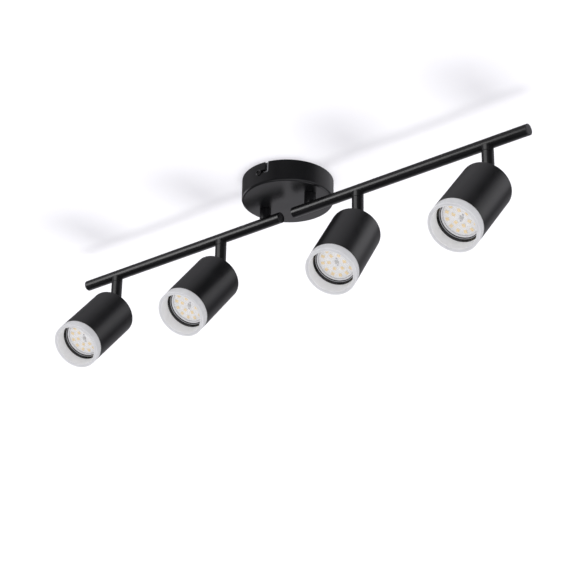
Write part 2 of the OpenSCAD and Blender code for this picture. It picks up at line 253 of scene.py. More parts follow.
def clear_cover():
    """A thin clear cover: what is behind shows through, under a faint mirror image."""
    material, tree, shader = new_material("clear_lamp_cover")
    tree.links.new(spread(tree, noise(tree, 90.0), 0.06, 0.12), shader.inputs["Roughness"])
    shader.inputs["Base Color"].default_value = (0.9, 0.9, 0.92, 1.0)
    shader.inputs["Alpha"].default_value = 0.16
    bump(tree, shader, [noise(tree, 500.0)], [2e-6])
    return material


lens_clear = clear_cover()


# ---- building pieces in mesh code ----

def column(radius, low, high):
    """The outline of a solid cylinder, for a lathe."""
    return [(0, low), (radius, low), (radius, high), (0, high)]


def rounded(corners, steps=4):
    """A closed outline from corners (r, z, radius), each corner rounded to its radius."""
    outline = []
    for k, (r, z, radius) in enumerate(corners):
        here = Vector((r, z))
        if not radius:
            outline.append(here)
            continue
        back = (Vector(corners[k - 1][:2]) - here).normalized()
        onward = (Vector(corners[(k + 1) % len(corners)][:2]) - here).normalized()
        half = back.angle(onward) / 2
        centre = here + (back + onward).normalized() * radius / math.sin(half)
        start = here + back * radius / math.tan(half) - centre
        end = here + onward * radius / math.tan(half) - centre
        turn = start.angle(end)
        for step in range(steps + 1):
            share = step / steps
            outline.append(centre + (start * math.sin((1 - share) * turn)
                                     + end * math.sin(share * turn)) / math.sin(turn))
    return outline


def new_object(name, bm, place=Matrix()):
    """An object in the row frame from a mesh made in the local frame of place."""
    bmesh.ops.recalc_face_normals(bm, faces=bm.faces)
    mesh = bpy.data.meshes.new(name)
    bm.to_mesh(mesh)
    bm.free()
    mesh.transform(place)
    obj = bpy.data.objects.new(name, mesh)
    bpy.context.scene.collection.objects.link(obj)
    return obj


def add_lathe(bm, outline, place=Matrix(), count=96):
    """Turns a closed outline (r, z) about the local Z axis."""
    rings = []
    for r, z in outline:
        turns = count if r > 1e-7 else 1
        rings.append([bm.verts.new(place @ Vector((r * math.cos(2 * math.pi * k / count),
                                                   r * math.sin(2 * math.pi * k / count), z)))
                      for k in range(turns)])
    for one, other in zip(rings, rings[1:] + rings[:1]):
        for k in range(count):
            corners = [one[k % len(one)], one[(k + 1) % len(one)],
                       other[(k + 1) % len(other)], other[k % len(other)]]
            corners = list(dict.fromkeys(corners))
            if len(corners) > 2:
                bm.faces.new(corners)


def lathe(name, outline, place=Matrix(), count=96):
    """An object from a closed outline (r, z) turned about the Z axis of place."""
    bm = bmesh.new()
    add_lathe(bm, outline, count=count)
    return new_object(name, bm, place)


def close_prism(bm, ends):
    """The two end faces and the side faces between two matching rings of vertices."""
    for end in ends:
        bm.faces.new(end)
    one, other = ends
    count = len(one)
    for k in range(count):
        bm.faces.new([one[k], one[(k + 1) % count], other[(k + 1) % count], other[k]])


def prism(name, outline, low, high, place=Matrix()):
    """An object from a closed outline (y, z), pushed along the X axis of place."""
    bm = bmesh.new()
    close_prism(bm, [[bm.verts.new((x, y, z)) for y, z in outline] for x in (low, high)])
    return new_object(name, bm, place)


def add_block(bm, size, centre, edge, place=Matrix()):
    """A box with rounded edges."""
    made = bmesh.ops.create_cube(bm, size=1.0)["verts"]
    bmesh.ops.transform(bm, verts=made, matrix=place @ Matrix.Translation(centre)
                        @ Matrix.Diagonal((*size, 1.0)))
    edges = list({e for v in made for e in v.link_edges})
    if edge:
        bmesh.ops.bevel(bm, geom=made + edges, offset=edge, segments=2, affect="EDGES",
                        profile=0.5)


def apply_modifiers(obj):
    """Bakes an object's modifiers into its mesh."""
    graph = bpy.context.evaluated_depsgraph_get()
    mesh = bpy.data.meshes.new_from_object(obj.evaluated_get(graph))
    obj.modifiers.clear()
    old, obj.data = obj.data, mesh
    bpy.data.meshes.remove(old)


def carve(obj, tools, operation="DIFFERENCE"):
    """Cuts obj with, joins it to or keeps what it shares with the tools, which are used up."""
    for tool in tools:
        modifier = obj.modifiers.new("carve", "BOOLEAN")
        modifier.operation, modifier.solver, modifier.object = operation, "EXACT", tool
    apply_modifiers(obj)
    for tool in tools:
        bpy.data.objects.remove(tool)


def piece(obj, body, material, replaces=(), edge=0.0, sharp=32.0):
    """Finishes a piece: edges, shading, material, the body it rides on and what it stands for."""
    if edge:
        modifier = obj.modifiers.new("edges", "BEVEL")
        modifier.width, modifier.segments = edge, 2
        modifier.limit_method, modifier.angle_limit = "ANGLE", math.radians(40)
        modifier.use_clamp_overlap = True
        apply_modifiers(obj)
    obj.data.materials.clear()
    obj.data.materials.append(material)
    obj.data.shade_smooth()
    obj.data.set_sharp_from_angle(angle=math.radians(sharp))
    shading = obj.modifiers.new("shading", "WEIGHTED_NORMAL")
    shading.keep_sharp = True
    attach(obj, body)
    if replaces:
        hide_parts(*replaces)
    return obj


def refinish(node, material):
    """A CAD node that stays, with a detailed material."""
    mesh = NODES[node].data
    mesh.materials.clear()
    mesh.materials.append(material)


def axis_place(origin, direction, up=Vector((0, 0, 1))):
    """A local frame whose Z runs along direction."""
    z = Vector(direction).normalized()
    x = up.cross(z)
    x = x.normalized() if x.length > 1e-6 else Vector((1, 0, 0))
    y = z.cross(x)
    return Matrix.Translation(origin) @ Matrix((x, y, z)).transposed().to_4x4()


# ---- canopy, lock screws and terminal block ----

def wrapped(name, outline, inside, outside, turn):
    """A cutter from an outline (arc length, z), wrapped about Z from -Y and turned by an angle."""
    bm = bmesh.new()
    shells = []
    for radius in (inside, outside):
        shell = []
        for along, z in outline:
            angle = along / outside + turn
            shell.append(bm.verts.new((radius * math.sin(angle), -radius * math.cos(angle), z)))
        shells.append(shell)
    close_prism(bm, shells)
    return new_object(name, bm)


def make_canopy():
    """The cup, with two bayonet slots in its rim and a hole for each post's nipple."""
    cup = ring_of("canopy")
    screws = span_of("canopy_screws")
    lock_z = (screws[0].z + screws[1].z) / 2
    floor_z = cup.low + CANOPY_WALL
    inner = cup.radius - CANOPY_WALL
    hole_turn = 0.03  # radians, so that the holes' corners miss those of the cup
    obj = lathe("canopy_shell", rounded([
        (cup.radius, 0, CUT_EDGE), (cup.radius, cup.low, CANOPY_EDGE), (0, cup.low, 0),
        (0, floor_z, 0), (inner, floor_z, CANOPY_EDGE - CANOPY_WALL), (inner, 0, CUT_EDGE)],
        steps=6), count=192)
    half = SLOT_WIDTH / 2
    full_round, slight_round = half * 0.99, half * 0.4
    reach = LOCK_TURN * cup.radius
    slot_outline = rounded([
        (-half, lock_z - half, full_round), (reach + half, lock_z - half, full_round),
        (reach + half, 2 * PAST, 0), (reach - half, 2 * PAST, 0),
        (reach - half, lock_z + half, slight_round), (-half, lock_z + half, full_round)])
    tools = [wrapped("slot", slot_outline, inner - PAST, cup.radius + PAST, turn)
             for turn in (0, math.pi)]
    for side in ARMS:
        at_post = Matrix.Translation((JOINTS[side + "_arm_swivel"]["pos_m"][0], 0, 0))
        tools.append(lathe("hole", column(NIPPLE_HOLE_R, cup.low - PAST, floor_z + PAST),
                           at_post @ Matrix.Rotation(hole_turn, 4, "Z"), count=48))
    carve(obj, tools)
    piece(obj, "root", black_coat, ["canopy"])


def make_lock_screws():
    """Two screws through the canopy's side, each with a domed head and a cross recess."""
    low, high = span_of("canopy_screws")
    head_r = (high.z - low.z) / 2
    face = ring_of("canopy").radius
    head_t = high.y - face
    shank_r, shank_l = 1.5 * MM, 7.5 * MM
    recess_r, recess_depth = 1.9 * MM, 1.1 * MM
    blade_low, blade_high = 0.4 * MM, 0.45 * MM  # half widths of the recess at its floor and mouth
    blade = [(-blade_low, head_t - recess_depth), (blade_low, head_t - recess_depth),
             (blade_high, head_t + PAST), (-blade_high, head_t + PAST)]
    for name, sign in (("lock_screw_front", -1), ("lock_screw_rear", 1)):
        place = axis_place((0, sign * face, (low.z + high.z) / 2), (0, sign, 0))
        head = lathe(name, rounded([
            (0, head_t, 0), (head_r * 0.55, head_t, 0.9 * MM), (head_r, head_t * 0.5, 0.7 * MM),
            (head_r, 0, 0.1 * MM), (shank_r, 0, 0), (shank_r, -shank_l, 0.3 * MM),
            (0, -shank_l, 0)]), place, count=64)
        carve(head, [prism("recess", blade, -recess_r, recess_r,
                           place @ Matrix.Rotation(math.radians(turn), 4, "Z"))
                     for turn in (20, 110)])
        piece(head, "root", screw_black, ["canopy_screws"])


def make_terminal_block():
    """A three-pole block: a nylon body with grooves between its poles, inserts and screws."""
    low = Vector((-14 * MM, -22 * MM, -13.5 * MM))
    high = Vector((14 * MM, -8 * MM, -1.5 * MM))
    centre, size = (low + high) / 2, high - low
    poles = (-1, 0, 1)
    insert_r, insert_bore = 2 * MM, 1.5 * MM
    insert_l = 6 * MM  # from the middle to each end
    shaft_r, shaft_start, shaft_l = 1.8 * MM, 2.5 * MM, 6 * MM
    screw_r, screw_t, screw_seat = 1.7 * MM, 1.2 * MM, 3.4 * MM
    groove_size = (0.6 * MM, size.y + 2 * PAST, 4 * MM)

    def insert_place(pole):
        """Through the block, along Y."""
        return axis_place((pole * POLE_PITCH, centre.y, centre.z), (0, 1, 0))

    def screw_place(pole, depth):
        """Down out of the block, from a depth in it."""
        return axis_place((pole * POLE_PITCH, centre.y, low.z + depth), (0, 0, -1))

    bm = bmesh.new()
    add_block(bm, size, centre, 0.6 * MM)
    body = new_object("terminal_body", bm)
    tools = []
    for x in (-size.x / 6, size.x / 6):
        for z in (low.z, high.z):
            groove = bmesh.new()
            add_block(groove, groove_size, (x, centre.y, z), 0)
            tools.append(new_object("groove", groove))
    for pole in poles:
        through = size.y / 2 + 2 * PAST
        tools.append(lathe("bore", column(insert_r, -through, through), insert_place(pole),
                           count=32))
        tools.append(lathe("shaft", column(shaft_r, 0, shaft_l), screw_place(pole, shaft_start),
                           count=32))
    carve(body, tools)
    piece(body, "root", terminal_white, ["terminal_block"])

    bm = bmesh.new()
    for pole in poles:
        add_lathe(bm, rounded([
            (insert_r, -insert_l, 0.1 * MM), (insert_r, insert_l, 0.1 * MM),
            (insert_bore, insert_l, 0.1 * MM), (insert_bore, -insert_l, 0.1 * MM)]),
            insert_place(pole), 32)
    piece(new_object("terminal_inserts", bm), "root", brass)

    half_slot, slot_floor = 0.25 * MM, 0.6 * MM
    slot = [(-half_slot, slot_floor), (half_slot, slot_floor), (half_slot, 2 * MM),
            (-half_slot, 2 * MM)]
    for pole in poles:
        place = screw_place(pole, screw_seat)
        turn = 0.6 * pole + 0.3  # each screw is left at another angle
        head = lathe(f"terminal_screw_{pole + 2}", rounded([
            (0, screw_t, 0), (screw_r, screw_t, 0.3 * MM), (screw_r, 0, 0), (0, 0, 0)]),
            place, count=32)
        carve(head, [prism("slot", slot, -2 * MM, 2 * MM, place @ Matrix.Rotation(turn, 4, "Z"))])
        piece(head, "root", brass)


def add_tube(bm, path, radius):
    """A round lead along a path of points, closed at its ends."""
    count = 20
    side_hint = Vector((0.31, 0.95, 0.05))  # along no stretch of any lead
    rings = []
    for k, point in enumerate(path):
        ahead = (path[min(k + 1, len(path) - 1)] - path[max(k - 1, 0)]).normalized()
        place = axis_place(point, ahead, side_hint)
        rings.append([bm.verts.new(place @ Vector((radius * math.cos(2 * math.pi * n / count),
                                                   radius * math.sin(2 * math.pi * n / count), 0)))
                      for n in range(count)])
    for one, other in zip(rings, rings[1:]):
        for n in range(count):
            bm.faces.new([one[n], one[(n + 1) % count], other[(n + 1) % count], other[n]])
    bm.faces.new(rings[0])
    bm.faces.new(rings[-1])


def curve_path(points, count):
    """Points along a smooth curve through a few given points, count for each stretch."""
    points = [Vector(p) for p in points]
    ends = [2 * points[0] - points[1], *points, 2 * points[-1] - points[-2]]
    path = []
    for a, b, c, d in zip(ends, ends[1:], ends[2:], ends[3:]):
        for k in range(count):
            t = k / count
            path.append(0.5 * (2 * b + (c - a) * t + (2 * a - 5 * b + 4 * c - d) * t * t
                               + (3 * b - a - 3 * c + d) * t * t * t))
    return path + [points[-1]]


def make_terminal_leads():
    """A fly lead from each outer pole towards its post."""
    bm = bmesh.new()
    for side in (-1, 1):
        path = [Vector((side * x * MM, y * MM, -7.5 * MM))
                for x, y in ((9, -14), (9, -8.5), (9.6, -5.6), (12, -4.2), (15, -4), (19, -4))]
        add_tube(bm, curve_path(path, 8), 1.2 * MM)
    piece(new_object("terminal_leads", bm), "root", lead_brown, sharp=50.0)


# ---- arms: each is drawn on +X, in a frame that turns it to its side ----

Tube = namedtuple("Tube", "radius axis_z start end")


def tube_of(side, place):
    """An arm's tube: its radius, the height of its axis, and its ends along the arm."""
    low, high = span_of(side + "_arm_tube", place)
    return Tube((high.z - low.z) / 2, (low.z + high.z) / 2, low.x, high.x)


def saddle(tube, place=Matrix()):
    """A cutter that fits a post or a stub to the underside or top of the tube."""
    return lathe("saddle", column(tube.radius, 0, 2 * tube.end),
                 place @ axis_place((-tube.end, 0, tube.axis_z), (1, 0, 0)), 96)


def make_tube(side, tube, along):
    """A cut tube whose inner end has a rounded edge."""
    bore = tube.radius - TUBE_WALL
    obj = lathe(side + "_tube", rounded([
        (tube.radius, tube.start, 0.9 * MM), (tube.radius, tube.end, 0.05 * MM),
        (bore, tube.end, 0), (bore, tube.start, CUT_EDGE)], steps=3), along, 96)
    piece(obj, side + "_arm", black_coat, [side + "_arm_tube"])


def make_end_caps(side, tube, place, along):
    """A recessed plug in the inner end and a flat cap with a plug on the outer end."""
    low, high = span_of(side + "_arm_end_caps", place)
    plug_r = tube.radius - TUBE_WALL - 0.05 * MM
    inner_l, outer_l = 7 * MM, 8.2 * MM
    groove_in, groove_out, groove_depth = plug_r * 0.62, plug_r * 0.72, 0.5 * MM
    bm = bmesh.new()
    add_lathe(bm, rounded([
        (0, low.x, 0), (groove_in, low.x, 0.1 * MM), (groove_in, low.x + groove_depth, 0.1 * MM),
        (groove_out, low.x + groove_depth, 0.1 * MM), (groove_out, low.x, 0.1 * MM),
        (plug_r, low.x, 0.25 * MM), (plug_r, low.x + inner_l, 0.2 * MM), (0, low.x + inner_l, 0)],
        steps=3), count=96)
    add_lathe(bm, rounded([
        (0, high.x - outer_l, 0), (plug_r, high.x - outer_l, 0.3 * MM), (plug_r, tube.end, 0),
        (tube.radius, tube.end, 0.05 * MM), (tube.radius, high.x, 0.45 * MM), (0, high.x, 0)],
        steps=4), count=96)
    piece(new_object(side + "_end_caps", bm, along), side + "_arm", black_plastic,
          [side + "_arm_end_caps"])


def make_post(side, tube, place):
    """The post under the canopy, with a threaded nipple above and a saddle for the tube below."""
    pivot_x = JOINTS[side + "_arm_swivel"]["pos_m"][0]
    at_post = Matrix.Translation((pivot_x, 0, 0)) @ place
    post = ring_of(side + "_arm_post", at_post)
    top = ring_of("canopy").low - 0.3 * MM
    crest, root = NIPPLE_R - 0.02 * MM, NIPPLE_R - 0.55 * MM
    thread = []
    for k in range(int((post.high - top) / THREAD_PITCH) - 1):
        z = top + 0.6 * MM + k * THREAD_PITCH
        thread += [(root, z, 0), (crest, z + THREAD_PITCH * 0.42, 0),
                   (crest, z + THREAD_PITCH * 0.58, 0)]
    neck = NIPPLE_R - 0.6 * MM
    obj = lathe(side + "_post", rounded([
        (LEAD_BORE, post.low, 0), (post.radius, post.low, 0), (post.radius, top, CUT_EDGE),
        (neck, top, 0), *thread, (neck, post.high - 0.4 * MM, 0),
        (NIPPLE_R - 1.0 * MM, post.high, 0), (LEAD_BORE, post.high, 0)], steps=3), at_post, 96)
    carve(obj, [saddle(tube, place)])
    piece(obj, side + "_arm", black_coat, [side + "_arm_post"])
    return post.radius


def make_stub(side, tube, place, head, radius):
    """The short stub under the tube, with a spigot and a clip groove that hold the stem."""
    stub_low, stub_high = span_of(side + "_stem_stubs", place)
    at_x, _, seam = JOINTS[f"head_{head}_swivel"]["pos_m"]
    spigot_r, groove_r = 4 * MM, 3.4 * MM
    clip_z = seam - 8 * MM
    obj = lathe(f"stub_{head}", rounded([
        (LEAD_BORE, stub_low.z, 0), (spigot_r, stub_low.z, 0.2 * MM), (spigot_r, clip_z, 0),
        (groove_r, clip_z, 0), (groove_r, clip_z + 1 * MM, 0), (spigot_r, clip_z + 1 * MM, 0),
        (spigot_r, seam, 0), (radius, seam, CUT_EDGE), (radius, stub_high.z, 0),
        (LEAD_BORE, stub_high.z, 0)], steps=3), Matrix.Translation((at_x, 0, 0)), 96)
    carve(obj, [saddle(tube)])
    piece(obj, side + "_arm", black_coat, [side + "_stem_stubs"])


def make_arm(side, turn):
    """The pieces that swivel with an arm, from its tube to the stubs for its heads."""
    place = Matrix.Rotation(turn, 4, "Z")
    tube = tube_of(side, place)
    along = place @ axis_place((0, 0, tube.axis_z), (1, 0, 0))
    make_tube(side, tube, along)
    make_end_caps(side, tube, place, along)
    radius = make_post(side, tube, place)
    for head in HEADS:
        if JOINTS[f"head_{head}_swivel"]["parent"] == side + "_arm":
            make_stub(side, tube, place, head, radius)
    refinish(side + "_arm_fasteners", zinc)
    refinish(side + "_arm_leads", lead_brown)


# ---- stems and heads ----

def head_place(head):
    """The head's own frame: origin on the tilt pivot, Z from the front to the back of the head."""
    tilt = JOINTS[f"head_{head}_tilt"]
    pivot, x = Vector(tilt["pos_m"]), -Vector(tilt["axis"])
    low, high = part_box(f"housing_{head}")
    z = pivot - (low + high) / 2
    z = (z - x * z.dot(x)).normalized()
    return Matrix.Translation(pivot) @ Matrix((x, z.cross(x), z)).transposed().to_4x4()


def stem_place(head):
    """The stem's frame: origin on the pivot, Z up, X along the tilt axis."""
    tilt = JOINTS[f"head_{head}_tilt"]
    x = -Vector(tilt["axis"])
    z = Vector((0, 0, 1))
    return Matrix.Translation(tilt["pos_m"]) @ Matrix((x, z.cross(x), z)).transposed().to_4x4()


def half_round(radius, sign, steps):
    """Points of a half circle about the pivot from -Y to +Y, through the side that sign gives."""
    turns = [math.pi * k / steps for k in range(steps + 1)]
    return [(-radius * math.cos(turn), sign * radius * math.sin(turn)) for turn in turns]


def make_stem(head):
    """A tube with a bore for the stub's spigot; its lower end is a fork with two round ears."""
    place = stem_place(head)
    stem = ring_of(f"swivel_stem_{head}", place)
    ear_root, ear_r, gap_x = 5.2 * MM, 4.5 * MM, 3.9 * MM
    bore, wire_bore, bore_depth = 4.05 * MM, 1.8 * MM, 13 * MM
    rivet_r, blank_low = 1.55 * MM, -6 * MM
    hole_turn = 0.05  # radians, so that the hole's corners miss those of the ears
    wide, far = 8 * MM, 9 * MM  # past the stem on all sides
    floor_z = stem.high - bore_depth
    obj = lathe(f"stem_{head}", rounded([
        (wire_bore, blank_low, 0), (stem.radius, blank_low, 0), (stem.radius, stem.high, CUT_EDGE),
        (bore, stem.high, CUT_EDGE), (bore, floor_z, 0), (wire_bore, floor_z, 0)],
        steps=3), count=96)
    outline = [(-wide, stem.high + PAST), (-wide, ear_root), (-ear_r, ear_root)]
    outline += half_round(ear_r, -1, 25)
    outline += [(ear_r, ear_root), (wide, ear_root), (wide, stem.high + PAST)]
    carve(obj, [prism("ears", outline, -wide, wide)], "INTERSECT")
    gap_top = ear_root + 0.06 * MM  # clear of the ears' own flat, so the cut stays clean
    gap = [(-far, -far), (far, -far), (far, gap_top), (-far, gap_top)]
    carve(obj, [prism("gap", gap, -gap_x, gap_x),
                lathe("rivet_hole", column(rivet_r, -far, far),
                      axis_place((0, 0, 0), (1, 0, 0)) @ Matrix.Rotation(hole_turn, 4, "Z"), 32)])
    obj.data.transform(place)
    piece(obj, f"stem_{head}", black_coat, [f"swivel_stem_{head}"], edge=0.2 * MM)


def make_rivets(head, place):
    """Two short rivets with a flat head, one for each pair of ears."""
    tip, under_head, top = 1.9 * MM, 5.6 * MM, 6.0 * MM
    shank_r, head_r = 1.5 * MM, 2.3 * MM
    bm = bmesh.new()
    for sign in (-1, 1):
        add_lathe(bm, rounded([
            (0, tip, 0), (shank_r, tip, 0.1 * MM), (shank_r, under_head, 0),
            (head_r, under_head, 0.1 * MM), (head_r - 0.1 * MM, top, 0.3 * MM),
            (0, top + 0.15 * MM, 0)], steps=3), place @ axis_place((0, 0, 0), (sign, 0, 0)), 40)
    piece(new_object(f"rivets_{head}", bm), f"head_{head}", zinc,
          [f"pivot_rivets_{head}"])


def make_back_plate(head, place):
    """The housing's back, with a low boss and two ears that sit inside the stem's fork."""
    disc = ring_of(f"back_cap_{head}", place, beyond=20 * MM)
    lead_hole, boss_foot, boss_top, boss_t = 1.8 * MM, 5.6 * MM, 5.2 * MM, 0.5 * MM
    ear_r, ear_inner, ear_outer = 4.2 * MM, 1.9 * MM, 3.6 * MM
    cap = lathe(f"back_plate_{head}", rounded([
        (lead_hole, disc.low, 0), (disc.radius, disc.low, 0.2 * MM),
        (disc.radius, disc.high, 0.5 * MM), (boss_foot, disc.high, 0.6 * MM),
        (boss_top, disc.high + boss_t, 0.2 * MM), (lead_hole, disc.high + boss_t, 0.2 * MM)],
        steps=4), count=144)
    ear_foot = disc.low + 0.5 * MM
    outline = [(-ear_r, ear_foot), *half_round(ear_r, 1, 24), (ear_r, ear_foot)]
    ears = [prism("ear", outline, *sorted((sign * ear_inner, sign * ear_outer)))
            for sign in (-1, 1)]
    carve(cap, ears, "UNION")
    cap.data.transform(place)
    piece(cap, f"head_{head}", black_coat, [f"back_cap_{head}"], edge=0.15 * MM)


def make_lead_sleeve(head, place):
    """The sleeve round the leads from the stem into the head, curved from the stem's line into the
    head's as they stand at rest.
    """
    at_stem = stem_place(head)
    straight = [at_stem @ Vector((0, 0, z * MM)) for z in (9, 6.5, 4, 2)]
    leaning = [place @ Vector((0, 0, z * MM)) for z in (-2, -5, -8.5, -12)]
    bm = bmesh.new()
    add_tube(bm, curve_path(straight + leaning, 6), 1.25 * MM)
    sleeve = new_object(f"lead_sleeve_{head}", bm)
    sleeve.data.materials.append(black_plastic)
    sleeve.data.shade_smooth()
    sleeve.data.set_sharp_from_angle(angle=math.radians(50))
    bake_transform(sleeve)


def make_shells(head, body, place):
    """The metal housing and the frosted ring that stands out of it."""
    shell = ring_of(f"housing_{head}", place)
    housing = lathe(f"housing_shell_{head}", rounded([
        (shell.radius, shell.low, CUT_EDGE), (shell.radius, shell.high, 0.6 * MM),
        (shell.bore, shell.high, CUT_EDGE), (shell.bore, shell.low, CUT_EDGE)],
        steps=5), place, 192)
    piece(housing, body, black_coat, [f"housing_{head}"])

    whole = ring_of(f"frosted_ring_{head}", place)
    front_r = whole.radius - 0.05 * MM  # stays inside the CAD's box
    spigot = shell.bore - 0.05 * MM
    ring = lathe(f"diffuser_ring_{head}", rounded([
        (whole.bore, whole.low, 0.5 * MM), (front_r, whole.low, 0.6 * MM),
        (front_r, shell.low, 0.1 * MM), (spigot, shell.low, 0), (spigot, whole.high, 0.2 * MM),
        (whole.bore, whole.high, 0.1 * MM)], steps=5), place, 192)
    piece(ring, body, frosted, [f"frosted_ring_{head}"])
    return whole.bore


def make_retainer(head, body, place, mouth):
    """The gloss-black ring that holds the lamp, and the wire spring on its seat, whose light grey
    is also a painted highlight line on the retainer's lip.
    """
    retainer = ring_of(f"retaining_ring_{head}", place)
    lip = retainer.bore - 1.2 * MM
    seat_z = retainer.high - 0.9 * MM
    obj = lathe(f"lamp_retainer_{head}", rounded([
        (mouth, retainer.low, 0.25 * MM), (retainer.radius, retainer.low, 0.1 * MM),
        (retainer.radius, retainer.high, 0.1 * MM), (lip, retainer.high, 0.15 * MM),
        (lip, seat_z + 0.5 * MM, 0.15 * MM), (retainer.bore - 0.3 * MM, seat_z, 0.1 * MM)],
        steps=4), place, 160)
    piece(obj, body, gloss_black, [f"retaining_ring_{head}"])
    wire_r, sides = 0.4 * MM, 12
    spring_r, spring_z = retainer.bore - 0.25 * MM, seat_z - 0.15 * MM
    turns = [2 * math.pi * k / sides for k in range(sides)]
    spring = [(spring_r + wire_r * math.cos(turn), spring_z + wire_r * math.sin(turn))
              for turn in turns]
    # Painted highlight: the spring's light grey gives the light line at the retainer's lip.
    piece(lathe(f"spring_ring_{head}", spring, place, 160), body, spring_grey_painted_highlight)


def make_lamp(head, body, place):
    """The reflector lamp: a shell with two pins, a clear cover and the board behind it."""
    lamp = ring_of(f"lamp_body_{head}", place)
    recess = ring_of(f"lamp_cover_{head}", place)
    board = ring_of(f"led_board_{head}", place)
    face, floor_z = lamp.low, board.high + 0.05 * MM
    recess_r = recess.radius + 0.1 * MM
    bell_r, neck_r, stem_r, base_r = (r * MM for r in (24.1, 16, 14.5, 12))
    neck_z, stem_z, stem_end, base_end = (face + z * MM for z in (25, 27, 42, 45))
    pin_x, pin_r, pin_head_r, pin_head_t = 5 * MM, 1.2 * MM, 2.4 * MM, 2 * MM
    bm = bmesh.new()
    add_lathe(bm, rounded([
        (0, floor_z, 0), (recess_r, floor_z, 0.1 * MM), (recess_r, face + 0.9 * MM, 0.2 * MM),
        (recess_r + 0.6 * MM, face, 0.35 * MM), (lamp.radius, face, 0.8 * MM),
        (lamp.radius, face + 3 * MM, 0.4 * MM), (bell_r, face + 3.6 * MM, 0.3 * MM),
        (neck_r, neck_z, 1.5 * MM), (stem_r, stem_z, 1 * MM), (stem_r, stem_end, 1.2 * MM),
        (base_r, stem_end + 0.5 * MM, 0.5 * MM), (base_r, base_end, 0.5 * MM), (0, base_end, 0)],
        steps=4), count=160)
    for sign in (-1, 1):
        add_lathe(bm, rounded([
            (0, base_end - 1 * MM, 0), (pin_r, base_end - 1 * MM, 0),
            (pin_r, lamp.high - pin_head_t, 0.2 * MM),
            (pin_head_r, lamp.high - pin_head_t, 0.2 * MM), (pin_head_r, lamp.high, 0.4 * MM),
            (0, lamp.high, 0)], steps=3),
            Matrix.Translation((sign * pin_x, 0, 0)), 32)
    piece(new_object(f"lamp_shell_{head}", bm, place), body, lamp_white,
          [f"lamp_body_{head}"])

    cover = lathe(f"lamp_lens_{head}", rounded([
        (0, recess.low, 0), (recess.radius, recess.low, 0.3 * MM),
        (recess.radius, recess.high, 0.1 * MM), (0, recess.high, 0)], steps=4), place, 128)
    piece(cover, body, lens_clear, [f"lamp_cover_{head}"])
    make_board(head, body, place, board)


def make_board(head, body, place, board):
    """The round board: twelve outer and six inner chips, solder pads, a part in the middle."""
    turned = place @ Matrix.Rotation(math.radians(LAMP_TURN[head]), 4, "Z")
    disc = lathe(f"board_{head}", rounded([
        (0, board.low, 0), (board.radius, board.low, 0.15 * MM),
        (board.radius, board.high, 0.15 * MM), (0, board.high, 0)], steps=3), place, 128)
    piece(disc, body, board_white, [f"led_board_{head}"])

    package, window = (4.1 * MM, 3.7 * MM, 0.5 * MM), (3.7 * MM, 3.3 * MM, 0.12 * MM)
    packages, windows = bmesh.new(), bmesh.new()
    for radius, count in ((15.1 * MM, 12), (8.4 * MM, 6)):
        for k in range(count):
            seat = turned @ Matrix.Rotation(2 * math.pi * k / count, 4, "Z")
            add_block(packages, package, (radius, 0, board.low - 0.25 * MM), 0.12 * MM, seat)
            add_block(windows, window, (radius, 0, board.low - 0.53 * MM), 0.05 * MM, seat)
    piece(new_object(f"led_packages_{head}", packages), body, chip_white)
    piece(new_object(f"led_windows_{head}", windows), body, phosphor)

    blob_r, blob_t = 1.1 * MM, 0.35 * MM
    pads = bmesh.new()
    for x, y in ((0, 3.9 * MM), (0.6 * MM, -3.9 * MM)):
        add_lathe(pads, [(0, board.low - blob_t), (blob_r * 0.55, board.low - blob_t * 0.8),
                         (blob_r, board.low), (0, board.low)],
                  turned @ Matrix.Translation((x, y, 0)), 24)
    pad = (0.8 * MM, 0.9 * MM, 0.2 * MM)
    for x in (-1.2 * MM, 1.2 * MM):
        for y in (-2.1 * MM, 2.1 * MM):
            add_block(pads, pad, (x, y, board.low - 0.1 * MM), 0.05 * MM, turned)
    piece(new_object(f"board_pads_{head}", pads), body, solder)
    moulding = bmesh.new()
    add_block(moulding, (3.8 * MM, 3.0 * MM, 1.0 * MM), (0, 0, board.low - 0.5 * MM), 0.15 * MM,
              turned)
    piece(new_object(f"board_rectifier_{head}", moulding), body, rectifier_grey)


def make_head(head):
    """The pieces that tilt with a head, and the sleeve between it and its stem."""
    body, place = f"head_{head}", head_place(head)
    make_rivets(head, place)
    make_back_plate(head, place)
    make_lead_sleeve(head, place)
    mouth = make_shells(head, body, place)
    make_retainer(head, body, place, mouth)
    make_lamp(head, body, place)
    refinish(f"lamp_holder_{head}", ceramic)
    refinish(f"head_leads_{head}", lead_brown)


make_canopy()
make_lock_screws()
make_terminal_block()
make_terminal_leads()
refinish("ceiling_bracket", zinc)
for arm_side, arm_turn in ARMS.items():
    make_arm(arm_side, arm_turn)
for number in HEADS:
    make_stem(number)
    make_head(number)


# ---- camera, ceiling, floor and light ----

CAMERA_AT = Vector((0.99165, -1.22539, -0.86533))
CAMERA_YAW, CAMERA_PITCH, CAMERA_ROLL = (math.radians(a) for a in (38.908, 25.063, 0.970))
CAMERA_LENS, CAMERA_SENSOR = 102.47, 36.0  # mm

CANOPY_HOLE = 49 * MM  # in the stage ceiling, so that the canopy's inside can be seen from above
FLOOR_Z = -2.4
STAGE_HALF = 6.0
PAINT = (0.45, 0.45, 0.45)

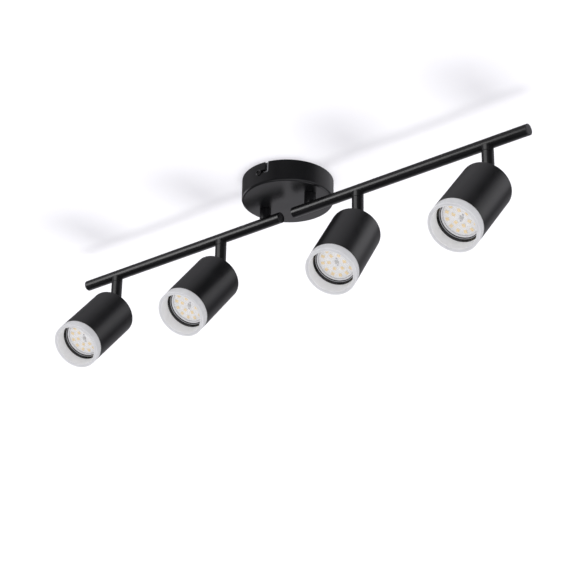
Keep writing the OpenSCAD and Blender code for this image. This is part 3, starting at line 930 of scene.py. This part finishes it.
# The studio as glossy surfaces mirror it: azimuth from -Y towards +X, elevation, full and faded
# angles in degrees, and level
SOFT_BOXES = (
    (138, 27, 7, 30, 0.5),
    (-120, 62, 10, 50, 0.18),
    (0, 90, 5, 38, 0.20),
    (-165, 14, 8, 34, 0.27),
    (-141, -24, 8, 26, 0.7),
    (-45, 24, 8, 50, 0.30),
    # Beside what the photograph's view mirrors: these shape the object for the other views
    (30, 58, 8, 20, 1.6),
    (178, 48, 8, 22, 1.8),
    (-88, -6, 8, 24, 2.0),
    (100, -4, 6, 22, 1.5),
    (70, -34, 12, 36, 1.1),
    (150, -50, 12, 34, 1.6),
    (10, -60, 8, 30, 0.9),
)
STUDIO_GLOOM = 0.035  # what glossy surfaces mirror elsewhere
STUDIO_TINT = (1.0, 0.985, 1.04)
STUDIO_FILL = (0.93, 0.93, 0.97)  # even light that matt surfaces receive from all round
BACKGROUND = (1.0, 1.0, 1.0)

# Area lights: place, what each aims at, size, power, whether it is for the glossy or the diffuse
# share of a surface, and the first words in the names of the pieces that it reaches
Light = namedtuple("Light", "name at aim size power share pieces")
LIGHTS = (
    Light("light_under", (-0.1, 0.42, -2.2), (0, 0, 0), (1.15, 1.0), 30.0, "diffuse",
          ("stage_ceiling",)),
    Light("light_lamps", (0.0, -1.3, -1.6), (0, 0, -0.2), (1.6, 1.6), 12.2, "diffuse",
          ("board_", "led_", "lamp_")),
    Light("light_bars", (-1.15, -1.65, 0.05), (0, 0, -0.09), (1.0, 1.1), 16.0, "glossy",
          ("left_tube", "right_tube", "left_end", "right_end")),
    Light("light_heads", (1.19, 1.32, 0.91), (0, 0, -0.1), (0.9, 0.9), 1.1, "glossy",
          ("housing_shell",)),
    Light("light_stems", (-0.28, -1.7, 0.85), (0, 0, -0.12), (1.9, 1.0), 12.0, "glossy",
          ("stem_", "stub_", "left_post", "right_post", "back_plate")),
)


def make_camera():
    """A camera at the photograph's place, from its yaw, pitch and roll."""
    ahead = Vector((-math.sin(CAMERA_YAW) * math.cos(CAMERA_PITCH),
                    math.cos(CAMERA_YAW) * math.cos(CAMERA_PITCH), math.sin(CAMERA_PITCH)))
    right = Vector((math.cos(CAMERA_YAW), math.sin(CAMERA_YAW), 0))
    up = right.cross(ahead)
    rolled_right = right * math.cos(CAMERA_ROLL) + up * math.sin(CAMERA_ROLL)
    rolled_up = up * math.cos(CAMERA_ROLL) - right * math.sin(CAMERA_ROLL)
    camera = bpy.data.objects.new("camera", bpy.data.cameras.new("camera"))
    bpy.context.scene.collection.objects.link(camera)
    camera.matrix_world = (Matrix.Translation(CAMERA_AT)
                           @ Matrix((rolled_right, rolled_up, -ahead)).transposed().to_4x4())
    camera.data.sensor_width = CAMERA_SENSOR
    camera.data.lens = CAMERA_LENS
    camera.data.clip_start, camera.data.clip_end = 0.05, 50.0
    bpy.context.scene.camera = camera


def one_sided(name, glow, reach):
    """A painted surface seen only from its front, with a glow near the object and one far off."""
    material, tree, shader = new_material(name)
    tree.links.new(between(tree, noise(tree, 2.0), [c * 0.985 for c in PAINT], PAINT),
                   shader.inputs["Base Color"])
    shader.inputs["Roughness"].default_value = 0.9
    shader.inputs["Specular IOR Level"].default_value = 0.0
    distance = tree.nodes.new("ShaderNodeVectorMath")
    distance.operation = "LENGTH"
    tree.links.new(tree.nodes.new("ShaderNodeTexCoord").outputs["Object"], distance.inputs[0])
    shader.inputs["Emission Color"].default_value = (0.985, 0.97, 1.03, 1.0)
    tree.links.new(spread(tree, distance.outputs["Value"], *glow, *reach),
                   shader.inputs["Emission Strength"])
    clear = tree.nodes.new("ShaderNodeBsdfTransparent")
    mix = tree.nodes.new("ShaderNodeMixShader")
    side = tree.nodes.new("ShaderNodeNewGeometry").outputs["Backfacing"]
    tree.links.new(side, mix.inputs["Fac"])
    tree.links.new(shader.outputs["BSDF"], mix.inputs[1])
    tree.links.new(clear.outputs["BSDF"], mix.inputs[2])
    tree.links.new(mix.outputs["Shader"], tree.nodes["Material Output"].inputs["Surface"])
    return material


def make_plane(name, z, facing, material, hole=0.0):
    """A square surface at a height, facing up or down, with a round hole about the Z axis."""
    bm = bmesh.new()
    outer, inner = [], []
    count = 96
    for k in range(count):
        angle = 2 * math.pi * k / count
        c, s = math.cos(angle), math.sin(angle)
        reach = STAGE_HALF / max(abs(c), abs(s))
        outer.append(bm.verts.new((reach * c, reach * s, z)))
        if hole:
            inner.append(bm.verts.new((hole * c, hole * s, z)))
    if hole:
        for k in range(count):
            bm.faces.new([inner[k], outer[k], outer[(k + 1) % count], inner[(k + 1) % count]])
    else:
        bm.faces.new(outer)
    for face in bm.faces:
        face.normal_update()
        if face.normal.z * facing < 0:
            face.normal_flip()
    mesh = bpy.data.meshes.new(name)
    bm.to_mesh(mesh)
    bm.free()
    obj = bpy.data.objects.new(name, mesh)
    bpy.context.scene.collection.objects.link(obj)
    mesh.materials.append(material)
    # Seen by the camera only: the object's own light comes from the studio round it
    obj.visible_glossy = obj.visible_diffuse = obj.visible_transmission = False
    obj.visible_shadow = False


def make_light(light):
    """An area light that reaches only the pieces whose names start with one of its words."""
    lamp = bpy.data.lights.new(light.name, "AREA")
    lamp.shape = "RECTANGLE"
    lamp.size, lamp.size_y = light.size
    lamp.energy = light.power
    obj = bpy.data.objects.new(light.name, lamp)
    bpy.context.scene.collection.objects.link(obj)
    obj.matrix_world = axis_place(Vector(light.at), Vector(light.at) - Vector(light.aim))
    obj.visible_camera = False
    obj.visible_glossy = light.share == "glossy"
    obj.visible_diffuse = light.share == "diffuse"
    reached = bpy.data.collections.new(light.name + "_reach")
    for other in bpy.context.scene.objects:
        if other.type == "MESH" and other.name.startswith(light.pieces):
            reached.objects.link(other)
    obj.light_linking.receiver_collection = reached


def soft_spot(tree, direction, azimuth, elevation, inner, outer, level):
    """Light from round a direction: full within one angle, fading out at another, in degrees."""
    a, e = math.radians(azimuth), math.radians(elevation)
    dot = tree.nodes.new("ShaderNodeVectorMath")
    dot.operation = "DOT_PRODUCT"
    dot.inputs[1].default_value = (math.sin(a) * math.cos(e), -math.cos(a) * math.cos(e),
                                   math.sin(e))
    tree.links.new(direction, dot.inputs[0])
    fade = tree.nodes.new("ShaderNodeMapRange")
    fade.interpolation_type = "SMOOTHSTEP"
    limits = (math.cos(math.radians(outer)), math.cos(math.radians(inner)), 0.0, level)
    for socket, number in zip(RANGE_SOCKETS, limits):
        fade.inputs[socket].default_value = number
    tree.links.new(dot.outputs["Value"], fade.inputs["Value"])
    return fade.outputs["Result"]


def make_world():
    """White behind everything, an even light on matt surfaces, and soft boxes in the mirrors."""
    world = bpy.data.worlds.new("studio")
    bpy.context.scene.world = world
    world.use_nodes = True
    tree = world.node_tree
    direction = tree.nodes.new("ShaderNodeTexCoord").outputs["Generated"]
    total = None
    for box in SOFT_BOXES:
        spot = soft_spot(tree, direction, *box)
        add = tree.nodes.new("ShaderNodeMath")
        add.operation = "ADD"
        tree.links.new(spot, add.inputs[0])
        if total:
            tree.links.new(total, add.inputs[1])
        else:
            add.inputs[1].default_value = STUDIO_GLOOM
        total = add.outputs["Value"]
    mirrored = tree.nodes["Background"]
    tree.links.new(total, mirrored.inputs["Strength"])
    mirrored.inputs["Color"].default_value = (*STUDIO_TINT, 1.0)
    path = tree.nodes.new("ShaderNodeLightPath")
    surface = mirrored.outputs["Background"]
    for ray, colour in (("Is Diffuse Ray", STUDIO_FILL), ("Is Camera Ray", BACKGROUND)):
        plain = tree.nodes.new("ShaderNodeBackground")
        plain.inputs["Color"].default_value = (*colour, 1.0)
        mix = tree.nodes.new("ShaderNodeMixShader")
        tree.links.new(path.outputs[ray], mix.inputs["Fac"])
        tree.links.new(surface, mix.inputs[1])
        tree.links.new(plain.outputs["Background"], mix.inputs[2])
        surface = mix.outputs["Shader"]
    tree.links.new(surface, tree.nodes["World Output"].inputs["Surface"])


make_camera()
make_world()
make_plane("stage_ceiling", 0.0, -1, one_sided("ceiling_paint", (0.48, 0.66), (0.5, 2.2)),
           hole=CANOPY_HOLE)
make_plane("stage_floor", FLOOR_Z, 1, one_sided("floor_paint", (0.42, 0.62), (3.0, 5.5)))
for area_light in LIGHTS:
    make_light(area_light)
bpy.context.scene.view_settings.view_transform = "Standard"
